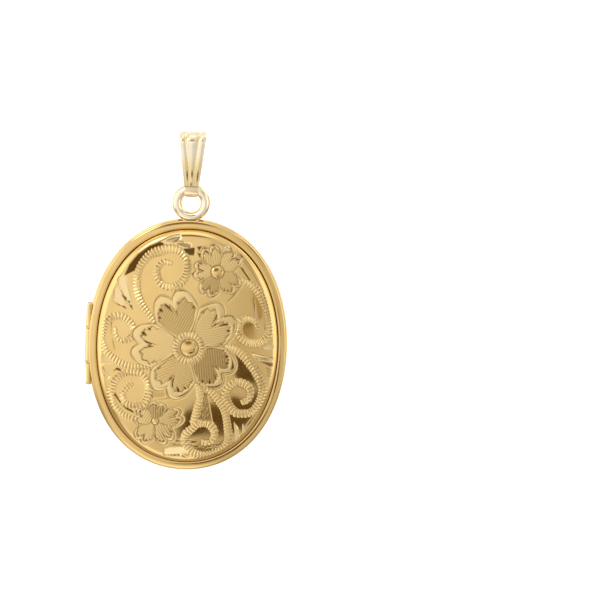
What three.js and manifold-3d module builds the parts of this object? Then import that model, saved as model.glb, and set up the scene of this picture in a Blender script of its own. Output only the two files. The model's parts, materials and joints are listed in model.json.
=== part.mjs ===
// Oval photo locket: two domed halves on a three-knuckle hinge, hung by a ring from a folded bail.
// Millimetres, +Z up, the front of the locket faces -Y. The origin is the middle of the chain passage in the bail,
// and inside the locket group heights are counted from the middle of the oval.
import * as THREE from "three";
import { mergeVertices } from "three/addons/utils/BufferGeometryUtils.js";
import Module from "manifold-3d";

// ---------- driving dimensions ----------
const OVAL_W = 25.2; // about 1 inch across the rims
const OVAL_H = 32.26; // about 1 1/4 inch down the rims
const OVAL_FULLNESS = 0.0185; // how far the outline swells over a true ellipse between its axes
const OVAL_SEGMENTS = 56;

// Half of the locket in section, as [inset from the outline, height over the parting plane].
const PARTING_GAP = 0.03; // each half stops this far from the parting plane
const RIM = [[0, PARTING_GAP], [0, 0.37], [0.05, 0.44], [0.14, 0.48]]; // the flange
const BEAD = [[0.24, 0.65], [0.42, 0.78], [0.6, 0.79], [0.8, 0.7], [0.98, 0.62], [1.13, 0.6]]; // the broad rounded border
const WALL = [[1.17, 0.98], [1.3, 1.28], [1.6, 1.54], [2.1, 1.72]]; // the dome's steep side
const CAVITY = [[2.1, 1.34], [1.75, 0.95], [1.45, 0.5], [1.45, PARTING_GAP]]; // the inside of rim and side
const CROWN_RISE = 0.9; // from the top of the steep side to the crown
const CROWN_STEPS = [0.15, 0.35, 0.6, 0.84]; // shares of the way in; inside the last the crown is flat
const CROWN_HEIGHT = WALL.at(-1)[1] + CROWN_RISE * (1 - (1 - CROWN_STEPS.at(-1)) ** 2);

const RING_MID_R = 1.77;
const RING_WIRE_R = 0.58;
const RING_CENTRE_Z = 18.17;
const RING_NOTCH_DEPTH = 0.42; // cut into both flanges under the ring
const FRONT_NOTCH_W = 3.0;
const BACK_NOTCH_W = 2.0;
const SEAT = { w: 1.8, y: [-0.25, 0.44], top: 15.98, gap: 0.02 };

const BAIL_TOP_Z = 27.18;
const BAIL_W = { top: 3.3, sideLobe: 0.84, foot: 1.7 };
const BAIL_TOP_R = 1.5; // outer radius of the chain passage, seen from the side
const BAIL_FOOT_R = 1.1; // outer radius round the ring's wire
const BAIL_STRAP = 0.42;
const BAIL_STEP_Z = 19.8; // where the leaf ends over the strap's foot
const SCALLOP = 0.25; // depth of the valleys between the three lobes
const WIRE_PLAY = 0.05; // between the ring's wire and the strap

const HINGE_X = -12.4;
const BARREL_R = 0.5;
const BORE_R = 0.21;
const PIN_R = 0.16;
const HINGE_CUT_R = 0.58; // both halves are hollowed round the barrel
const LEAF_R = 0.56; // solder leaf that fills this hollow on the knuckle's own half
const BARREL_FILE_R = 69; // the tube is filed to this radius, to follow the oval
const KNUCKLE_GAP = 0.12;
const HINGE_CUTS = [5.16, 1.93, -2.56, -5.35]; // head of the upper knuckle down to the foot of the lower one
const HINGE_CUT_END = 0.1; // past the knuckles at each end

const SNAP = { outer: 1.5, inner: 1.72, reach: 0.42 };
const CATCH = { r: 0.14, inset: 1.61, y: -0.22 };

const BEZEL = { outer: 1.78, wall: 2.0, opening: 3.0, lip: 2.6, face: 0.12, ledge: 0.37, hold: 0.88, back: 0.98 };
const LENS = { inset: 2.05, depth: [0.4, 0.64] };
const CARD = { inset: 2.1, depth: [0.67, 0.85] };

// ---------- materials ----------
const metal = (color, roughness) => new THREE.MeshStandardMaterial({ color, roughness, metalness: 1 });
const GOLD = metal(0xe0bf78, 0.18);
const GOLD_SATIN = metal(0xd2ae66, 0.35);
const PALE_GOLD = metal(0xe9cf95, 0.16);
const CLEAR = new THREE.MeshStandardMaterial({
  color: 0xf4f6f4, roughness: 0.05, metalness: 0, transparent: true, opacity: 0.3,
});
const PAPER = new THREE.MeshStandardMaterial({ color: 0xf1ece0, roughness: 0.9, metalness: 0 });

// ---------- solids ----------
const wasm = await Module();
wasm.setup();

// A closed three.js geometry as a manifold solid, facing out.
function solid(geometry) {
  const bare = geometry.index ? geometry.toNonIndexed() : geometry.clone();
  bare.deleteAttribute("normal");
  bare.deleteAttribute("uv");
  const merged = mergeVertices(bare, 1e-4);
  const build = (triVerts) =>
    new wasm.Manifold(new wasm.Mesh({ numProp: 3, vertProperties: merged.attributes.position.array, triVerts }));
  const made = build(new Uint32Array(merged.index.array));
  return made.volume() < 0 ? build(new Uint32Array(merged.index.array).reverse()) : made;
}

function geometryOf(made) {
  const { vertProperties, triVerts, numProp, numVert } = made.getMesh();
  const position = new Float32Array(numVert * 3);
  for (let i = 0; i < numVert; i++) {
    position.set(vertProperties.subarray(i * numProp, i * numProp + 3), i * 3);
  }
  const geometry = new THREE.BufferGeometry();
  geometry.setAttribute("position", new THREE.BufferAttribute(position, 3));
  geometry.setIndex(new THREE.BufferAttribute(new Uint32Array(triVerts), 1));
  geometry.computeVertexNormals();
  return geometry;
}

// A point of the oval outline, moved in square to it by the inset.
function ovalPoint(turn, inset) {
  const a = OVAL_W / 2, b = OVAL_H / 2, c = Math.cos(turn), s = Math.sin(turn);
  const swell = 1 + OVAL_FULLNESS * Math.sin(2 * turn) ** 2, change = 2 * OVAL_FULLNESS * Math.sin(4 * turn);
  const out = new THREE.Vector2(b * (c * swell + s * change), a * (s * swell - c * change)).normalize();
  return [a * c * swell - out.x * inset, b * s * swell - out.y * inset];
}

// A lathe bent from round to the locket's oval. Each profile point is [inset, height, share]: the inset is square to
// the outline, and the share, 0 where left out, is how far the point is then drawn in to the middle. Height runs to
// -Y for side -1, the front, and to +Y for side 1. The profile starts and ends in the middle or closes on itself.
function ovalSolid(profile, side) {
  const lathe = new THREE.LatheGeometry(profile.map((_, i) => new THREE.Vector2(1, i)), OVAL_SEGMENTS);
  const at = lathe.attributes.position;
  for (let i = 0; i < at.count; i++) {
    const [inset, height, share = 0] = profile[i % profile.length];
    const turn = (Math.floor(i / profile.length) % OVAL_SEGMENTS) * (2 * Math.PI / OVAL_SEGMENTS);
    const [x, z] = ovalPoint(turn, inset);
    at.setXYZ(i, x * (1 - share), side * height, z * (1 - share));
  }
  return solid(lathe);
}

// A shape drawn in X and Y and extruded along Z.
function prismZ(shape, z0, z1, x = 0) {
  const geometry = new THREE.ExtrudeGeometry(shape, { depth: z1 - z0, bevelEnabled: false, curveSegments: 10 });
  return solid(geometry.translate(x, 0, z0));
}

// The same, its drawing plane turned so that drawn x, drawn y and the depth run along three given axes.
function prism(shape, from, to, axes, curveSegments = 10) {
  const geometry = new THREE.ExtrudeGeometry(shape, { depth: to - from, bevelEnabled: false, curveSegments });
  return solid(geometry.translate(0, 0, from).applyMatrix4(new THREE.Matrix4().makeBasis(...axes)));
}
const X = new THREE.Vector3(1, 0, 0), Y = new THREE.Vector3(0, 1, 0), Z = new THREE.Vector3(0, 0, 1);

function box([x0, x1], [y0, y1], [z0, z1]) {
  const geometry = new THREE.BoxGeometry(x1 - x0, y1 - y0, z1 - z0);
  return solid(geometry.translate((x0 + x1) / 2, (y0 + y1) / 2, (z0 + z1) / 2));
}

function cylinderZ(radius, z0, z1, x, segments) {
  const geometry = new THREE.CylinderGeometry(radius, radius, z1 - z0, segments);
  return solid(geometry.rotateX(Math.PI / 2).translate(x, 0, (z0 + z1) / 2));
}

const locket = new THREE.Group();
function add(name, made, material) {
  const mesh = new THREE.Mesh(geometryOf(made), material);
  mesh.name = name;
  locket.add(mesh);
}

// ---------- the two halves ----------
function shell(side, notchWidth) {
  const shoulder = WALL.at(-1);
  const crownAt = (share) => shoulder[1] + CROWN_RISE * (1 - (1 - share) ** 2);
  const sheet = shoulder[1] - CAVITY[0][1];
  const outside = CROWN_STEPS.map((share) => [shoulder[0], crownAt(share), share]);
  const inside = CROWN_STEPS.map((share) => [shoulder[0], crownAt(share) - sheet, share]).reverse();
  const profile = [
    ...RIM, ...BEAD, ...WALL, ...outside, [shoulder[0], CROWN_HEIGHT, 1],
    [shoulder[0], CROWN_HEIGHT - sheet, 1], ...inside, ...CAVITY,
  ];
  // The profile runs from the outline in to the middle and back, and closes at the foot of the rim.
  const whole = ovalSolid([...profile, profile[0]], side);
  const floor = OVAL_H / 2 - RING_NOTCH_DEPTH;
  const notch = box([-notchWidth / 2, notchWidth / 2], side < 0 ? [-0.6, 0.5] : [-0.5, 0.6], [floor, floor + 2]);
  const head = HINGE_CUTS[0] + HINGE_CUT_END, foot = HINGE_CUTS.at(-1) - HINGE_CUT_END;
  return whole.subtract(notch).subtract(cylinderZ(HINGE_CUT_R, foot, head, HINGE_X, 32));
}
add("front_shell", shell(-1, FRONT_NOTCH_W), GOLD);
add("back_shell", shell(1, BACK_NOTCH_W), GOLD);

// ---------- hinge ----------
// A length of hinge tube with its solder leaf on one half, filed on the outside to follow the oval.
function knuckle(top, foot, side) {
  const [from, to] = side > 0 ? [0.15, 1.4] : [-1.4, -0.15];
  const shape = new THREE.Shape();
  shape.absarc(0, 0, LEAF_R, from, to, false);
  shape.absarc(0, 0, BARREL_R, to, from + 2 * Math.PI, false);
  shape.holes.push(new THREE.Path().absarc(0, 0, BORE_R, 0, 2 * Math.PI, true));
  const tube = prismZ(shape, foot, top, HINGE_X);
  const file = new THREE.CylinderGeometry(BARREL_FILE_R, BARREL_FILE_R, 4, 360);
  return tube.intersect(solid(file.translate(HINGE_X - BARREL_R + BARREL_FILE_R, 0, 0)));
}
const [hingeHead, upperCut, lowerCut, hingeFoot] = HINGE_CUTS;
add("upper_knuckle", knuckle(hingeHead, upperCut + KNUCKLE_GAP / 2, 1), GOLD);
add("middle_knuckle", knuckle(upperCut - KNUCKLE_GAP / 2, lowerCut + KNUCKLE_GAP / 2, -1), GOLD);
add("lower_knuckle", knuckle(lowerCut - KNUCKLE_GAP / 2, hingeFoot, 1), GOLD);
add("hinge_pin", cylinderZ(PIN_R, hingeFoot + 0.05, hingeHead - 0.05, HINGE_X, 16), GOLD_SATIN);

// ---------- inside ----------
// The snap rim stands in both halves and carries a small bead opposite the hinge.
const band = ovalSolid([
  [SNAP.outer, -SNAP.reach], [SNAP.outer, SNAP.reach], [SNAP.inner, SNAP.reach], [SNAP.inner, -SNAP.reach],
  [SNAP.outer, -SNAP.reach],
], 1);
const catchBead = new THREE.SphereGeometry(CATCH.r, 12, 8).translate(OVAL_W / 2 - CATCH.inset, CATCH.y, 0);
add("snap_rim", band.add(solid(catchBead)), GOLD_SATIN);

for (const [half, side] of [["front", -1], ["back", 1]]) {
  const { outer, wall, opening, lip, face, ledge, hold, back } = BEZEL;
  add(half + "_bezel", ovalSolid([
    [outer, face], [opening, face], [opening, ledge], [wall, ledge], [wall, hold], [lip, hold], [lip, back],
    [1.95, back], [outer, 0.84], [outer, face],
  ], side), GOLD_SATIN);
  const leaf = ({ inset, depth: [near, far] }) =>
    ovalSolid([[inset, near, 1], [inset, near], [inset, far], [inset, far, 1]], side);
  add(half + "_lens", leaf(LENS), CLEAR);
  add(half + "_card", leaf(CARD), PAPER);
}

// ---------- ring and its seat ----------
const ringOf = (wireR) => {
  const torus = new THREE.TorusGeometry(RING_MID_R, wireR, 12, 40);
  return solid(torus.rotateX(Math.PI / 2).translate(0, 0, RING_CENTRE_Z));
};
add("jump_ring", ringOf(RING_WIRE_R), PALE_GOLD);
const notchFloor = OVAL_H / 2 - RING_NOTCH_DEPTH;
const seatBlock = box([-SEAT.w / 2, SEAT.w / 2], SEAT.y, [notchFloor + SEAT.gap, SEAT.top]);
add("ring_seat", seatBlock.subtract(ringOf(RING_WIRE_R + SEAT.gap)), PALE_GOLD);

// ---------- bail ----------
// The strap in side view: one loop, wide round the chain and narrow round the ring's wire.
function bailSide(inset) {
  const topZ = BAIL_TOP_Z - BAIL_TOP_R, footZ = RING_CENTRE_Z + RING_MID_R;
  const lean = Math.asin((BAIL_TOP_R - BAIL_FOOT_R) / (topZ - footZ));
  const loop = new THREE.Path();
  loop.absarc(0, topZ, BAIL_TOP_R - inset, -lean, Math.PI + lean, false);
  loop.absarc(0, footZ, BAIL_FOOT_R - inset, Math.PI + lean, 2 * Math.PI - lean, false);
  return loop;
}

// The strap in front view: a leaf that tapers to its foot, with a wide lobe between two narrow ones at its top.
function bailFront() {
  const top = BAIL_W.top / 2, foot = BAIL_W.foot / 2, low = RING_CENTRE_Z + RING_MID_R - BAIL_FOOT_R;
  const valley = BAIL_TOP_Z - SCALLOP, lobe = BAIL_W.sideLobe, middle = top - lobe;
  const shape = new THREE.Shape().moveTo(-foot + 0.3, low).lineTo(foot - 0.3, low);
  shape.quadraticCurveTo(foot, low, foot, low + 0.35);
  shape.lineTo(foot, BAIL_STEP_Z);
  shape.lineTo(top, valley - 0.3);
  shape.quadraticCurveTo(top, BAIL_TOP_Z, top - lobe / 2, BAIL_TOP_Z);
  shape.quadraticCurveTo(middle, BAIL_TOP_Z, middle, valley);
  shape.quadraticCurveTo(middle / 2, BAIL_TOP_Z, 0, BAIL_TOP_Z);
  shape.quadraticCurveTo(-middle / 2, BAIL_TOP_Z, -middle, valley);
  shape.quadraticCurveTo(-middle, BAIL_TOP_Z, -(top - lobe / 2), BAIL_TOP_Z);
  shape.quadraticCurveTo(-top, BAIL_TOP_Z, -top, valley - 0.3);
  shape.lineTo(-foot, BAIL_STEP_Z);
  shape.lineTo(-foot, low + 0.35);
  shape.quadraticCurveTo(-foot, low, -foot + 0.3, low);
  return shape;
}

// The room that the ring's curved wire takes as the bail swings on it: a saddle turned about X.
function wireRoom() {
  const profile = [];
  for (const x of [-1, -0.75, -0.5, -0.25, 0, 0.25, 0.5, 0.75, 1]) {
    const drop = RING_MID_R - Math.sqrt(RING_MID_R ** 2 - x ** 2);
    profile.push(new THREE.Vector2(RING_WIRE_R + WIRE_PLAY + drop, x));
  }
  const ends = [new THREE.Vector2(0, -1), ...profile, new THREE.Vector2(0, 1)];
  return solid(new THREE.LatheGeometry(ends, 28).rotateZ(-Math.PI / 2).translate(0, 0, RING_CENTRE_Z + RING_MID_R));
}
const bailLoop = new THREE.Shape(bailSide(0).getPoints(14));
bailLoop.holes.push(new THREE.Path(bailSide(BAIL_STRAP).getPoints(14).reverse()));
const bail = prism(bailLoop, -BAIL_W.top / 2 - 0.5, BAIL_W.top / 2 + 0.5, [Y, Z, X])
  .intersect(prism(bailFront(), -3, 3, [X, Z, Y.clone().negate()], 5))
  .subtract(wireRoom());
add("bail", bail, PALE_GOLD);

locket.position.z = -(BAIL_TOP_Z - BAIL_TOP_R); // the chain passage comes to the origin
const part = new THREE.Group();
part.add(locket);
export default part;
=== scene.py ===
# Oval photo locket with a hand-engraved front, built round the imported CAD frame. Lengths are in millimetres,
# counted from the middle of the oval, until place() moves them into the frame in metres.
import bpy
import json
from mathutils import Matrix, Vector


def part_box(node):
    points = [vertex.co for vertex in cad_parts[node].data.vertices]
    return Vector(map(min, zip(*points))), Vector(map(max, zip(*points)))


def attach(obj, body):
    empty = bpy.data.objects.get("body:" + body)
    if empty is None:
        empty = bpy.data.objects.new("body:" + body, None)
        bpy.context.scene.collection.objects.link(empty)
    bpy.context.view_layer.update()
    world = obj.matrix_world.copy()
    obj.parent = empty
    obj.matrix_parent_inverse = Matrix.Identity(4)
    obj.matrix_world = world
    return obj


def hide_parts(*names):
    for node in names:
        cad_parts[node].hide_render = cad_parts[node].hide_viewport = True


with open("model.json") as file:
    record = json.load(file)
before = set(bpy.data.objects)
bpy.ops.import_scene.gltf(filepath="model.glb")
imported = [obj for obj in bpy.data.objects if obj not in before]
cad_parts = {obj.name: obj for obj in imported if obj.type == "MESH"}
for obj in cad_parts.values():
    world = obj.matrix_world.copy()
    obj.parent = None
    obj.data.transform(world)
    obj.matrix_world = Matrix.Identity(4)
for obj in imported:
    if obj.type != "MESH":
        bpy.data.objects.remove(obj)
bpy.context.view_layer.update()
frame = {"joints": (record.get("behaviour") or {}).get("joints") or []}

import json
import math
import bpy
import numpy as np
from mathutils import Matrix, Vector

TAU = 2 * math.pi
MM = 1000.0

# ------------------------------------------------------------------ sizes taken from the frame
shell_lo, shell_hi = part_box("front_shell")
lens_lo, lens_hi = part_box("front_lens")
OVAL_Z = (lens_lo.z + lens_hi.z) / 2 * MM          # middle of the oval in the row frame
A = shell_hi.x * MM                                # half width of the oval
B = OVAL_Z - shell_lo.z * MM                       # half height
CROWN = -shell_lo.y * MM                           # height of the dome over the parting plane
ring_lo, ring_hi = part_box("jump_ring")
RING_Z = (ring_lo.z + ring_hi.z) / 2 * MM - OVAL_Z
RING_OUT = (ring_hi.z - ring_lo.z) / 2 * MM
WIRE_R = ring_hi.y * MM
RING_MID = RING_OUT - WIRE_R
bail_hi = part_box("bail")[1]
BAIL_TOP = bail_hi.z * MM - OVAL_Z
BAIL_HALF = bail_hi.x * MM
hinge = next(j for j in frame["joints"] if j["name"] == "cover_hinge")
HINGE_X = hinge["pos_m"][0] * MM
pin_lo, pin_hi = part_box("hinge_pin")
PIN_R = (pin_hi.x - pin_lo.x) / 2 * MM
seat_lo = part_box("ring_seat")[0]
NOTCH_Z = seat_lo.z * MM - OVAL_Z - 0.02
FULLNESS = 0.0185                                  # swell of the outline over an ellipse, between its axes


# ------------------------------------------------------------------ mesh helpers
def place(points):
    """Points in mm about the oval's middle, as metres in the row frame."""
    out = np.array(points, float)
    out[:, 2] += OVAL_Z
    return out / MM


def make(name, points, faces, material, body, node, slot):
    """A closed smooth-shaded piece that rides on a body, replaces a CAD node and takes the material; slot is
    not used.
    """
    mesh = bpy.data.meshes.new(name)
    mesh.from_pydata(place(points).tolist(), [], [list(map(int, f)) for f in faces])
    mesh.validate()
    mesh.update()
    mesh.shade_smooth()
    obj = bpy.data.objects.new(name, mesh)
    bpy.context.scene.collection.objects.link(obj)
    mesh.materials.append(material)
    face_outwards(obj)
    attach(obj, body)
    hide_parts(node)
    return obj


def face_outwards(obj):
    """Turns every face round if the closed mesh has a negative volume."""
    me = obj.data
    me.calc_loop_triangles()
    co = np.empty(len(me.vertices) * 3)
    me.vertices.foreach_get("co", co)
    co = co.reshape(-1, 3)
    tri = np.empty(len(me.loop_triangles) * 3, np.int32)
    me.loop_triangles.foreach_get("vertices", tri)
    t = co[tri.reshape(-1, 3)]
    if np.einsum("ij,ij->", t[:, 0], np.cross(t[:, 1], t[:, 2])) < 0:
        me.flip_normals()


class Builder:
    """Collects rings of vertices and the faces between them."""

    def __init__(self):
        self.points, self.faces, self.count = [], [], 0

    def add(self, points):
        points = np.asarray(points, float).reshape(-1, 3)
        first = self.count
        self.points.append(points)
        self.count += len(points)
        return np.arange(first, self.count)

    def band(self, a, b):
        """Quads between two closed rings of the same length."""
        a2, b2 = np.roll(a, -1), np.roll(b, -1)
        self.faces += list(zip(a, a2, b2, b))

    def wrap(self, rings):
        """Bands from each ring to the next, and from the last to the first."""
        for a, b in zip(rings, rings[1:] + rings[:1]):
            self.band(a, b)

    def halve(self, fine, coarse):
        """Faces between a closed ring and one with every second of its points."""
        n = len(coarse)
        for i in range(n):
            j = (i + 1) % n
            f0, f1, f2 = fine[2 * i], fine[2 * i + 1], fine[(2 * i + 2) % len(fine)]
            self.faces += [(f0, f1, coarse[i]), (f1, coarse[j], coarse[i]), (f1, f2, coarse[j])]

    def grid(self, ids):
        """Quads over a two-dimensional array of vertex numbers."""
        a, b, c, d = ids[:-1, :-1], ids[1:, :-1], ids[1:, 1:], ids[:-1, 1:]
        self.faces += list(zip(a.ravel(), b.ravel(), c.ravel(), d.ravel()))

    def fan(self, ring, centre):
        self.faces += [(a, b, centre) for a, b in zip(ring, np.roll(ring, -1))]

    def all_points(self):
        return np.concatenate(self.points)


def smoothstep(lo, hi, x):
    t = np.clip((x - lo) / (hi - lo), 0, 1)
    return t * t * (3 - 2 * t)


def spline(points, step=0.05):
    """A smooth curve through the points, sampled about every step mm (centripetal Catmull-Rom)."""
    p = np.asarray(points, float)
    p = np.vstack([2 * p[0] - p[1], p, 2 * p[-1] - p[-2]])
    out = []
    for i in range(1, len(p) - 2):
        p0, p1, p2, p3 = p[i - 1:i + 3]
        t = [0.0]
        for u, v in ((p0, p1), (p1, p2), (p2, p3)):
            t.append(t[-1] + max(np.linalg.norm(v - u), 1e-9) ** 0.5)
        n = max(2, int(np.linalg.norm(p2 - p1) / step))
        x = np.linspace(t[1], t[2], n, endpoint=False)[:, None]
        a1 = (t[1] - x) / (t[1] - t[0]) * p0 + (x - t[0]) / (t[1] - t[0]) * p1
        a2 = (t[2] - x) / (t[2] - t[1]) * p1 + (x - t[1]) / (t[2] - t[1]) * p2
        a3 = (t[3] - x) / (t[3] - t[2]) * p2 + (x - t[2]) / (t[3] - t[2]) * p3
        b1 = (t[2] - x) / (t[2] - t[0]) * a1 + (x - t[0]) / (t[2] - t[0]) * a2
        b2 = (t[3] - x) / (t[3] - t[1]) * a2 + (x - t[1]) / (t[3] - t[1]) * a3
        out.append((t[2] - x) / (t[2] - t[1]) * b1 + (x - t[1]) / (t[2] - t[1]) * b2)
    out.append(p[-2][None])
    return np.concatenate(out)


def rounded(profile, radius, steps):
    """A closed profile with its corners rounded; radius is one number or one for each corner."""
    p = np.asarray(profile, float)
    n = len(p)
    radii = np.broadcast_to(radius, n)
    out = []
    for i in range(n):
        u, v = p[i - 1] - p[i], p[(i + 1) % n] - p[i]
        lu, lv = np.linalg.norm(u), np.linalg.norm(v)
        cut = min(radii[i], lu * 0.45, lv * 0.45)
        s, e = p[i] + u / lu * cut, p[i] + v / lv * cut
        for k in range(steps + 1):
            t = k / steps
            out.append((1 - t) ** 2 * s + 2 * t * (1 - t) * p[i] + t * t * e)
    return np.array(out)


def outline(turn):
    """The oval's points and the outward directions there, as x, z, nx, nz."""
    c, s = np.cos(turn), np.sin(turn)
    swell, change = 1 + FULLNESS * np.sin(2 * turn) ** 2, 2 * FULLNESS * np.sin(4 * turn)
    nx, nz = B * (c * swell + s * change), A * (s * swell - c * change)
    length = np.hypot(nx, nz)
    return A * c * swell, B * s * swell, nx / length, nz / length


def oval(turn, inset, height, side, share=0.0):
    """Points of the oval at these turns: inset square to the outline, then drawn to the middle by share."""
    x, z, nx, nz = outline(turn)
    x, z = x - nx * inset, z - nz * inset
    y = np.full_like(x, side * height) if np.isscalar(height) else side * height
    return np.stack([x * (1 - share), y, z * (1 - share)], -1)


def sweep(name, profile, side, material, *where):
    """A closed profile of [inset, height] taken round the oval."""
    turns = np.linspace(0, TAU, 320, endpoint=False)
    b = Builder()
    rings = [b.add(oval(turns, inset, height, side)) for inset, height in profile]
    b.wrap(rings)
    return make(name, b.all_points(), b.faces, material, *where)


# ------------------------------------------------------------------ materials
def node_material(name):
    mat = bpy.data.materials.new(name)
    mat.use_nodes = True
    tree = mat.node_tree
    tree.nodes.clear()
    out = tree.nodes.new("ShaderNodeOutputMaterial")
    shader = tree.nodes.new("ShaderNodeBsdfPrincipled")
    tree.links.new(shader.outputs[0], out.inputs[0])
    return mat, tree, shader


def noise(tree, scale, detail=3.0, roughness=0.55, stretch=None):
    """Noise in object space; scale is in features per millimetre."""
    coord = tree.nodes.new("ShaderNodeTexCoord")
    mapping = tree.nodes.new("ShaderNodeMapping")
    mapping.inputs["Scale"].default_value = tuple(MM * scale * s for s in (stretch or (1, 1, 1)))
    tex = tree.nodes.new("ShaderNodeTexNoise")
    tex.inputs["Scale"].default_value = 1.0
    tex.inputs["Detail"].default_value = detail
    tex.inputs["Roughness"].default_value = roughness
    tree.links.new(coord.outputs["Object"], mapping.inputs["Vector"])
    tree.links.new(mapping.outputs[0], tex.inputs["Vector"])
    return tex.outputs["Fac"]


def ramp(tree, fac, stops):
    node = tree.nodes.new("ShaderNodeValToRGB")
    elements = node.color_ramp.elements
    while len(elements) < len(stops):
        elements.new(0.5)
    for element, (position, color) in zip(elements, stops):
        element.position = position
        element.color = (*color, 1.0) if not np.isscalar(color) else (color, color, color, 1.0)
    tree.links.new(fac, node.inputs[0])
    return node.outputs[0]


def scaled(tree, value, lo, hi):
    node = tree.nodes.new("ShaderNodeMapRange")
    tree.links.new(value, node.inputs["Value"])
    node.inputs["From Min"].default_value, node.inputs["From Max"].default_value = 0.3, 0.7
    node.inputs["To Min"].default_value, node.inputs["To Max"].default_value = lo, hi
    return node.outputs[0]


def attribute(tree, name):
    node = tree.nodes.new("ShaderNodeAttribute")
    node.attribute_name = name
    return node.outputs["Fac"]


def mix(tree, fac, a, b):
    node = tree.nodes.new("ShaderNodeMix")
    node.data_type = "RGBA"
    tree.links.new(fac, node.inputs[0])
    tree.links.new(a, node.inputs[6])
    if isinstance(b, tuple):
        node.inputs[7].default_value = (*b, 1.0)
    else:
        tree.links.new(b, node.inputs[7])
    return node.outputs[2]


def add_value(tree, a, b, factor=1.0):
    node = tree.nodes.new("ShaderNodeMath")
    node.operation = "MULTIPLY_ADD"
    tree.links.new(a, node.inputs[0])
    node.inputs[1].default_value = factor
    tree.links.new(b, node.inputs[2])
    return node.outputs[0]


def skin(tree, shader, height, depth):
    """A surface that is never quite flat, as bump of this depth in mm."""
    bump = tree.nodes.new("ShaderNodeBump")
    bump.inputs["Distance"].default_value = depth / MM
    tree.links.new(height, bump.inputs["Height"])
    tree.links.new(bump.outputs[0], shader.inputs["Normal"])


def gold(name, light, deep, rough, wear, scratch, grain, bright=None):
    """Polished gold: cloudy colour, uneven polish, hair-fine scratches and a slightly uneven skin. Given the
    last colour, it also mixes in painted highlight (that paler gold) and painted shade, partly tarnish (dark
    brown), from the mesh's layers.
    """
    mat, tree, shader = node_material(name)
    shader.inputs["Metallic"].default_value = 1.0
    color = ramp(tree, noise(tree, 0.35, 4.0), [(0.3, deep), (0.72, light)])
    roughness = scaled(tree, noise(tree, 0.9, 5.0, 0.65), rough, rough + wear)
    if bright:
        tarnish, satin = attribute(tree, "tarnish"), attribute(tree, "satin")
        # painted highlight: a paler gold mixed in by a layer of the mesh
        color = mix(tree, attribute(tree, "bright"), color, bright)
        # painted shade, partly real tarnish: dark brown mixed in by a layer of the mesh
        color = mix(tree, tarnish, color, (0.12, 0.055, 0.010))
        roughness = add_value(tree, satin, roughness, 0.16)
        roughness = add_value(tree, tarnish, roughness, 0.2)
    tree.links.new(color, shader.inputs["Base Color"])
    tree.links.new(roughness, shader.inputs["Roughness"])
    height = noise(tree, grain, 4.0, 0.6)
    fine = noise(tree, 1.2, 2.0, 0.5, (14, 14, 1.2))
    skin(tree, shader, add_value(tree, fine, height, 0.25), scratch)
    return mat


HIGHLIGHT_GOLD = (0.95, 0.765, 0.43)                     # paler gold of the painted highlight on cut facets and rib tops
ENGRAVED = gold("gold_engraved", (0.85, 0.613, 0.262), (0.80, 0.557, 0.224), 0.07, 0.03, 0.0005, 2.0,
                HIGHLIGHT_GOLD)
POLISHED = gold("gold_polished", (0.87, 0.65, 0.30), (0.83, 0.60, 0.26), 0.06, 0.03, 0.0004, 2.0, HIGHLIGHT_GOLD)
# the pale gold's last colour is the paler gold of its painted highlight
PALE = gold("gold_pale", (0.94, 0.775, 0.46), (0.90, 0.71, 0.385), 0.09, 0.04, 0.0006, 2.5, (1.0, 0.95, 0.82))
SATIN = gold("gold_satin", (0.84, 0.63, 0.28), (0.74, 0.53, 0.21), 0.24, 0.10, 0.003, 5.0)


def clear_plastic(name):
    mat, tree, shader = node_material(name)
    shader.inputs["Base Color"].default_value = (0.97, 0.98, 0.97, 1)
    shader.inputs["Transmission Weight"].default_value = 1.0
    shader.inputs["IOR"].default_value = 1.49
    tree.links.new(scaled(tree, noise(tree, 1.5, 5.0, 0.7), 0.02, 0.09), shader.inputs["Roughness"])
    skin(tree, shader, noise(tree, 0.9, 2.0), 0.0006)
    return mat


def paper(name):
    mat, tree, shader = node_material(name)
    shader.inputs["Metallic"].default_value = 0.0
    shader.inputs["Specular IOR Level"].default_value = 0.25
    color = ramp(tree, noise(tree, 1.1, 6.0, 0.7), [(0.3, (0.80, 0.76, 0.66)), (0.7, (0.88, 0.85, 0.77))])
    tree.links.new(color, shader.inputs["Base Color"])
    tree.links.new(scaled(tree, noise(tree, 3.0, 3.0), 0.75, 0.92), shader.inputs["Roughness"])
    skin(tree, shader, noise(tree, 12.0, 5.0, 0.7), 0.01)
    return mat


CLEAR = clear_plastic("clear_plastic")
PAPER = paper("paper_card")


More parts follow.
